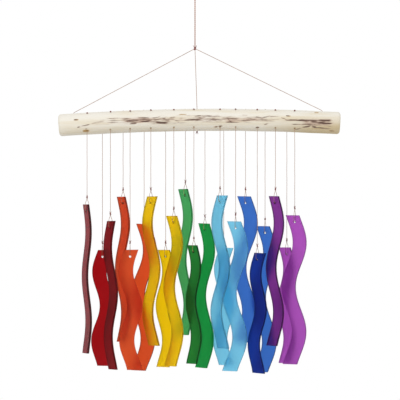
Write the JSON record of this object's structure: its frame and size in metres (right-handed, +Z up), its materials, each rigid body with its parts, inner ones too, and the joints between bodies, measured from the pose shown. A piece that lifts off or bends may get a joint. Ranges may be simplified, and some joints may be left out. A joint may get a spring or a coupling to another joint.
{
  "type": "glass wind chime",
  "caption": "Glass wind chime: wavy strips of frosted coloured glass in rainbow order, hung on thin cords in two rows below a bowed, peeled natural branch.",
  "frame": {"origin": "where a hook bears inside the hanging loop, at the top of the chime", "axes": "+Z up along the riser, +X along the branch from the red strips to the purple ones, +Y away from the viewer"},
  "size_m": [0.3814, 0.0571, 0.5324],
  "materials": {
    "hanging_cord": "twisted cord",
    "thin_cord": "waxed thread",
    "knot_cord": "tied thread",
    "peeled_wood": "peeled and weathered",
    "glass_red": "frosted",
    "glass_orange": "frosted",
    "glass_yellow": "frosted",
    "glass_green": "frosted",
    "glass_light_blue": "frosted",
    "glass_blue": "frosted",
    "glass_deep_blue": "frosted",
    "glass_purple": "frosted"
  },
  "bodies": {
    "hook_loop": {"hang_loop": "hanging_cord"},
    "riser": {"riser_cord": "hanging_cord"},
    "apex": {"apex_knot": "knot_cord"},
    "beam": {"branch": "peeled_wood", "bridle_left": "thin_cord", "bridle_centre": "thin_cord", "bridle_right": "thin_cord", "stopper_knots_front": "knot_cord", "stopper_knots_back": "knot_cord"},
    "cord_01": {"cord_01": "thin_cord"},
    "strip_01": {"strip_01": "glass_red"},
    "cord_02": {"cord_02": "thin_cord"},
    "strip_02": {"strip_02": "glass_red"},
    "cord_03": {"cord_03": "thin_cord"},
    "strip_03": {"strip_03": "glass_red"},
    "cord_04": {"cord_04": "thin_cord"},
    "strip_04": {"strip_04": "glass_orange"},
    "cord_05": {"cord_05": "thin_cord"},
    "strip_05": {"strip_05": "glass_orange"},
    "cord_06": {"cord_06": "thin_cord"},
    "strip_06": {"strip_06": "glass_orange"},
    "cord_07": {"cord_07": "thin_cord"},
    "strip_07": {"strip_07": "glass_yellow"},
    "cord_08": {"cord_08": "thin_cord"},
    "strip_08": {"strip_08": "glass_yellow"},
    "cord_09": {"cord_09": "thin_cord"},
    "strip_09": {"strip_09": "glass_yellow"},
    "cord_10": {"cord_10": "thin_cord"},
    "strip_10": {"strip_10": "glass_green"},
    "cord_11": {"cord_11": "thin_cord"},
    "strip_11": {"strip_11": "glass_green"},
    "cord_12": {"cord_12": "thin_cord"},
    "strip_12": {"strip_12": "glass_green"},
    "cord_13": {"cord_13": "thin_cord"},
    "strip_13": {"strip_13": "glass_light_blue"},
    "cord_14": {"cord_14": "thin_cord"},
    "strip_14": {"strip_14": "glass_light_blue"},
    "cord_15": {"cord_15": "thin_cord"},
    "strip_15": {"strip_15": "glass_light_blue"},
    "cord_16": {"cord_16": "thin_cord"},
    "strip_16": {"strip_16": "glass_blue"},
    "cord_17": {"cord_17": "thin_cord"},
    "strip_17": {"strip_17": "glass_deep_blue"},
    "cord_18": {"cord_18": "thin_cord"},
    "strip_18": {"strip_18": "glass_blue"},
    "cord_19": {"cord_19": "thin_cord"},
    "strip_19": {"strip_19": "glass_purple"},
    "cord_20": {"cord_20": "thin_cord"},
    "strip_20": {"strip_20": "glass_purple"},
    "cord_21": {"cord_21": "thin_cord"},
    "strip_21": {"strip_21": "glass_purple"}
  },
  "joints": [
    {"name": "chime_swing", "type": "hinge", "parent": "hook_loop", "child": "riser", "pos_m": [0, 0, -0.0264], "axis": [1, 0, 0], "range_deg": [-20, 20]},
    {"name": "chime_turn", "type": "hinge", "parent": "riser", "child": "apex", "pos_m": [0, 0, -0.0927], "axis": [0, 0, 1], "range_deg": [-180, 180]},
    {"name": "branch_tip", "type": "hinge", "parent": "apex", "child": "beam", "pos_m": [0, 0, -0.0927], "axis": [0, 1, 0], "range_deg": [-8, 8]},
    {"name": "cord_01_swing", "type": "hinge", "parent": "beam", "child": "cord_01", "pos_m": [-0.1455, -0.0113, -0.20429], "axis": [1, 0, 0], "range_deg": [-25, 2]},
    {"name": "strip_01_turn", "type": "hinge", "parent": "cord_01", "child": "strip_01", "pos_m": [-0.1455, -0.0113, -0.20429], "axis": [0, 0, 1], "range_deg": [-25, 25]},
    {"name": "cord_02_swing", "type": "hinge", "parent": "beam", "child": "cord_02", "pos_m": [-0.1255, 0.0113, -0.20319], "axis": [1, 0, 0], "range_deg": [-0.5, 25]},
    {"name": "strip_02_turn", "type": "hinge", "parent": "cord_02", "child": "strip_02", "pos_m": [-0.1255, 0.0113, -0.20319], "axis": [0, 0, 1], "range_deg": [-18, 25]},
    {"name": "cord_03_swing", "type": "hinge", "parent": "beam", "child": "cord_03", "pos_m": [-0.114, -0.0113, -0.20262], "axis": [1, 0, 0], "range_deg": [-25, 0.5]},
    {"name": "strip_03_turn", "type": "hinge", "parent": "cord_03", "child": "strip_03", "pos_m": [-0.114, -0.0113, -0.20262], "axis": [0, 0, 1], "range_deg": [-25, 25]},
    {"name": "cord_04_swing", "type": "hinge", "parent": "beam", "child": "cord_04", "pos_m": [-0.0975, 0.0113, -0.20187], "axis": [1, 0, 0], "range_deg": [-0.75, 25]},
    {"name": "strip_04_turn", "type": "hinge", "parent": "cord_04", "child": "strip_04", "pos_m": [-0.0975, 0.0113, -0.20187], "axis": [0, 0, 1], "range_deg": [-25, 25]},
    {"name": "cord_05_swing", "type": "hinge", "parent": "beam", "child": "cord_05", "pos_m": [-0.0875, -0.0113, -0.20146], "axis": [1, 0, 0], "range_deg": [-25, 0.75]},
    {"name": "strip_05_turn", "type": "hinge", "parent": "cord_05", "child": "strip_05", "pos_m": [-0.0875, -0.0113, -0.20146], "axis": [0, 0, 1], "range_deg": [-25, 14]},
    {"name": "cord_06_swing", "type": "hinge", "parent": "beam", "child": "cord_06", "pos_m": [-0.069, 0.0113, -0.2008], "axis": [1, 0, 0], "range_deg": [-1, 25]},
    {"name": "strip_06_turn", "type": "hinge", "parent": "cord_06", "child": "strip_06", "pos_m": [-0.069, 0.0113, -0.2008], "axis": [0, 0, 1], "range_deg": [-25, 12]},
    {"name": "cord_07_swing", "type": "hinge", "parent": "beam", "child": "cord_07", "pos_m": [-0.0595, -0.0113, -0.2005], "axis": [1, 0, 0], "range_deg": [-25, 1]},
    {"name": "strip_07_turn", "type": "hinge", "parent": "cord_07", "child": "strip_07", "pos_m": [-0.0595, -0.0113, -0.2005], "axis": [0, 0, 1], "range_deg": [-25, 16]},
    {"name": "cord_08_swing", "type": "hinge", "parent": "beam", "child": "cord_08", "pos_m": [-0.0398, 0.0113, -0.19998], "axis": [1, 0, 0], "range_deg": [-0.5, 25]},
    {"name": "strip_08_turn", "type": "hinge", "parent": "cord_08", "child": "strip_08", "pos_m": [-0.0398, 0.0113, -0.19998], "axis": [0, 0, 1], "range_deg": [-16, 20]},
    {"name": "cord_09_swing", "type": "hinge", "parent": "beam", "child": "cord_09", "pos_m": [-0.0285, -0.0113, -0.19974], "axis": [1, 0, 0], "range_deg": [-25, 0.5]},
    {"name": "strip_09_turn", "type": "hinge", "parent": "cord_09", "child": "strip_09", "pos_m": [-0.0285, -0.0113, -0.19974], "axis": [0, 0, 1], "range_deg": [-7, 25]},
    {"name": "cord_10_swing", "type": "hinge", "parent": "beam", "child": "cord_10", "pos_m": [-0.013, 0.0113, -0.19948], "axis": [1, 0, 0], "range_deg": [0, 25]},
    {"name": "strip_10_turn", "type": "hinge", "parent": "cord_10", "child": "strip_10", "pos_m": [-0.013, 0.0113, -0.19948], "axis": [0, 0, 1], "range_deg": [-1, 25]},
    {"name": "cord_11_swing", "type": "hinge", "parent": "beam", "child": "cord_11", "pos_m": [-0.0015, -0.0113, -0.19934], "axis": [1, 0, 0], "range_deg": [-25, 0]},
    {"name": "strip_11_turn", "type": "hinge", "parent": "cord_11", "child": "strip_11", "pos_m": [-0.0015, -0.0113, -0.19934], "axis": [0, 0, 1], "range_deg": [-2, 25]},
    {"name": "cord_12_swing", "type": "hinge", "parent": "beam", "child": "cord_12", "pos_m": [0.0135, 0.0113, -0.19922], "axis": [1, 0, 0], "range_deg": [-0.5, 25]},
    {"name": "strip_12_turn", "type": "hinge", "parent": "cord_12", "child": "strip_12", "pos_m": [0.0135, 0.0113, -0.19922], "axis": [0, 0, 1], "range_deg": [-25, 25]},
    {"name": "cord_13_swing", "type": "hinge", "parent": "beam", "child": "cord_13", "pos_m": [0.0338, -0.0113, -0.19917], "axis": [1, 0, 0], "range_deg": [-25, 0.25]},
    {"name": "strip_13_turn", "type": "hinge", "parent": "cord_13", "child": "strip_13", "pos_m": [0.0338, -0.0113, -0.19917], "axis": [0, 0, 1], "range_deg": [-25, 25]},
    {"name": "cord_14_swing", "type": "hinge", "parent": "beam", "child": "cord_14", "pos_m": [0.039, 0.0113, -0.19918], "axis": [1, 0, 0], "range_deg": [-0.75, 25]},
    {"name": "strip_14_turn", "type": "hinge", "parent": "cord_14", "child": "strip_14", "pos_m": [0.039, 0.0113, -0.19918], "axis": [0, 0, 1], "range_deg": [-25, 20]},
    {"name": "cord_15_swing", "type": "hinge", "parent": "beam", "child": "cord_15", "pos_m": [0.0548, -0.0113, -0.19927], "axis": [1, 0, 0], "range_deg": [-1, 1.5]},
    {"name": "strip_15_turn", "type": "hinge", "parent": "cord_15", "child": "strip_15", "pos_m": [0.0548, -0.0113, -0.19927], "axis": [0, 0, 1], "range_deg": [-16, 8]},
    {"name": "cord_16_swing", "type": "hinge", "parent": "beam", "child": "cord_16", "pos_m": [0.0685, 0.0113, -0.19942], "axis": [1, 0, 0], "range_deg": [-1, 1.5]},
    {"name": "strip_16_turn", "type": "hinge", "parent": "cord_16", "child": "strip_16", "pos_m": [0.0685, 0.0113, -0.19942], "axis": [0, 0, 1], "range_deg": [-25, 12]},
    {"name": "cord_17_swing", "type": "hinge", "parent": "beam", "child": "cord_17", "pos_m": [0.084, -0.0113, -0.19965], "axis": [1, 0, 0], "range_deg": [-25, 1]},
    {"name": "strip_17_turn", "type": "hinge", "parent": "cord_17", "child": "strip_17", "pos_m": [0.084, -0.0113, -0.19965], "axis": [0, 0, 1], "range_deg": [-25, 20]},
    {"name": "cord_18_swing", "type": "hinge", "parent": "beam", "child": "cord_18", "pos_m": [0.095, 0.0113, -0.19987], "axis": [1, 0, 0], "range_deg": [-0.25, 25]},
    {"name": "strip_18_turn", "type": "hinge", "parent": "cord_18", "child": "strip_18", "pos_m": [0.095, 0.0113, -0.19987], "axis": [0, 0, 1], "range_deg": [-6, 16]},
    {"name": "cord_19_swing", "type": "hinge", "parent": "beam", "child": "cord_19", "pos_m": [0.1085, -0.0113, -0.20019], "axis": [1, 0, 0], "range_deg": [-25, 0.25]},
    {"name": "strip_19_turn", "type": "hinge", "parent": "cord_19", "child": "strip_19", "pos_m": [0.1085, -0.0113, -0.20019], "axis": [0, 0, 1], "range_deg": [-2, 25]},
    {"name": "cord_20_swing", "type": "hinge", "parent": "beam", "child": "cord_20", "pos_m": [0.1245, 0.0113, -0.20065], "axis": [1, 0, 0], "range_deg": [-1, 25]},
    {"name": "strip_20_turn", "type": "hinge", "parent": "cord_20", "child": "strip_20", "pos_m": [0.1245, 0.0113, -0.20065], "axis": [0, 0, 1], "range_deg": [-25, 25]},
    {"name": "cord_21_swing", "type": "hinge", "parent": "beam", "child": "cord_21", "pos_m": [0.1345, -0.0113, -0.20098], "axis": [1, 0, 0], "range_deg": [-25, 1]},
    {"name": "strip_21_turn", "type": "hinge", "parent": "cord_21", "child": "strip_21", "pos_m": [0.1345, -0.0113, -0.20098], "axis": [0, 0, 1], "range_deg": [-25, 25]}
  ]
}
